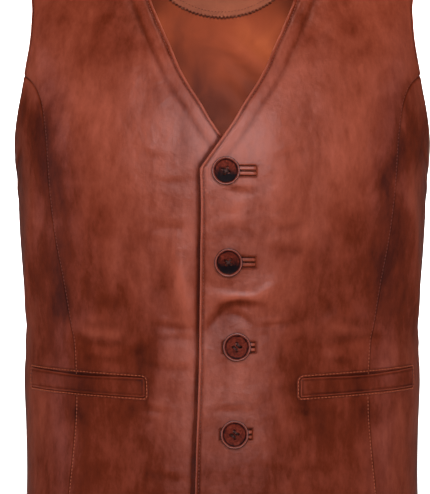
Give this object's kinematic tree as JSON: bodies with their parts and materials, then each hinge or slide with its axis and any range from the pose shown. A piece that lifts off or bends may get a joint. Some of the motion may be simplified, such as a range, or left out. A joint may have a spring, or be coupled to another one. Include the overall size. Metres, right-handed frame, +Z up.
{
  "type": "leather vest",
  "caption": "Sleeveless leather waistcoat with a V neck, buttoned front, shaped panels and welt pockets, in its worn hollow form.",
  "frame": {"origin": "midway between the two neck points, at the height of the shoulder seams' inner ends, where the wearer's shoulders carry the garment", "axes": "+Z up, +X towards the wearer's left, the buttoned front faces -Y"},
  "size_m": [0.3796, 0.2338, 0.575],
  "materials": {
    "leather": "semi-gloss, mottled antique brown",
    "leather_trim": "semi-gloss, rubbed lighter on the folds",
    "lining": "smooth matt orange-brown",
    "facing": "matt tan",
    "horn": "polished, marbled dark red-brown",
    "thread": "waxed sewing thread"
  },
  "bodies": {
    "root": {"front_left": "leather", "front_right": "leather", "side_left": "leather", "side_right": "leather", "back": "leather", "back_lining": "lining", "neck_facing": "facing", "pocket_welt_left": "leather_trim", "pocket_welt_right": "leather_trim", "pocket_rim_left": "leather", "pocket_rim_right": "leather", "button_1": "horn", "thread_shank_1": "thread", "buttonhole_1_upper_lip": "leather_trim", "buttonhole_1_lower_lip": "leather_trim", "button_2": "horn", "thread_shank_2": "thread", "buttonhole_2_upper_lip": "leather_trim", "buttonhole_2_lower_lip": "leather_trim", "button_3": "horn", "thread_shank_3": "thread", "buttonhole_3_upper_lip": "leather_trim", "buttonhole_3_lower_lip": "leather_trim", "button_4": "horn", "thread_shank_4": "thread", "buttonhole_4_upper_lip": "leather_trim", "buttonhole_4_lower_lip": "leather_trim"}
  },
  "joints": []
}
